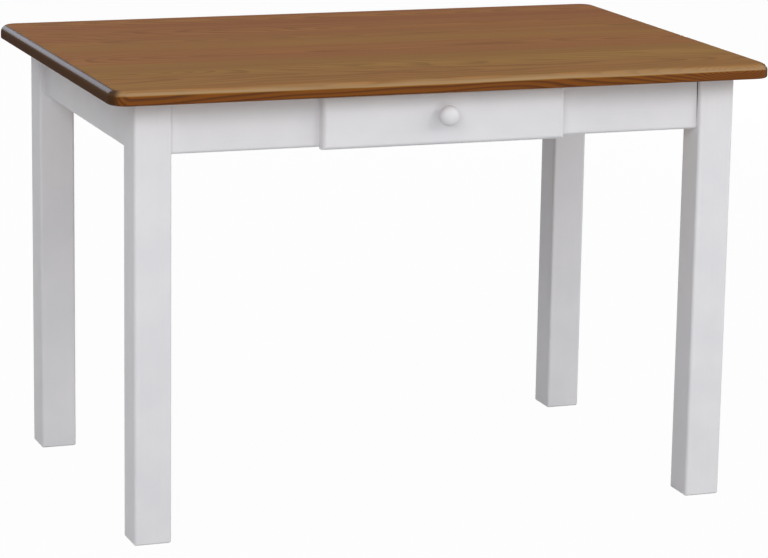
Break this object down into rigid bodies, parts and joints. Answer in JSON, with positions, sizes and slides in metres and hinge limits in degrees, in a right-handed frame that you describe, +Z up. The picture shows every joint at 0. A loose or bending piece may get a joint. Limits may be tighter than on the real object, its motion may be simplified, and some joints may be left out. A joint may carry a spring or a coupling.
{
  "type": "kitchen table",
  "caption": "Rectangular kitchen table with square legs, aprons, a rounded-edge wooden top and a knobbed drawer that slides out through the front apron.",
  "frame": {"origin": "on the floor, under the middle of the top", "axes": "+X along the length, +Y from the drawer side to the back, +Z up"},
  "size_m": [1.18, 0.8, 0.78],
  "materials": {
    "stained_pine": "brown stain under satin lacquer",
    "white_paint": "satin white paint",
    "painted_knob": "semi-gloss white paint",
    "bare_pine": "planed and unfinished",
    "beech": "planed and unfinished",
    "hardboard": "smooth pressed face",
    "zinc_steel": "zinc plated"
  },
  "bodies": {
    "table_frame": {"tabletop": "stained_pine", "leg_front_left": "white_paint", "leg_front_right": "white_paint", "leg_back_left": "white_paint", "leg_back_right": "white_paint", "apron_front": "white_paint", "apron_back": "white_paint", "apron_left": "white_paint", "apron_right": "white_paint", "corner_block_front_left": "bare_pine", "corner_block_front_right": "bare_pine", "corner_block_back_left": "bare_pine", "corner_block_back_right": "bare_pine", "runner_left": "bare_pine", "runner_right": "bare_pine", "kicker_left": "bare_pine", "kicker_right": "bare_pine", "apron_dowels": "beech", "runner_dowels": "beech", "hanger_bolts": "zinc_steel", "bolt_washers": "zinc_steel", "bolt_nuts": "zinc_steel", "corner_block_screws": "zinc_steel", "top_brackets": "zinc_steel", "top_bracket_screws": "zinc_steel", "kicker_screws": "zinc_steel"},
    "drawer": {"drawer_front": "white_paint", "drawer_side_left": "bare_pine", "drawer_side_right": "bare_pine", "drawer_back": "bare_pine", "drawer_bottom": "hardboard", "drawer_knob": "painted_knob", "knob_screw": "zinc_steel", "drawer_dowels": "beech", "drawer_bottom_pins": "zinc_steel", "button_screw": "zinc_steel"},
    "stop_button": {"drawer_button": "beech"}
  },
  "joints": [
    {"name": "drawer_slide", "type": "slide", "parent": "table_frame", "child": "drawer", "axis": [0, -1, 0], "range_m": [0, 0.359]},
    {"name": "stop_button_turn", "type": "hinge", "parent": "drawer", "child": "stop_button", "pos_m": [0, 0.0453, 0.7213], "axis": [0, 1, 0], "range_deg": [0, 90]}
  ]
}
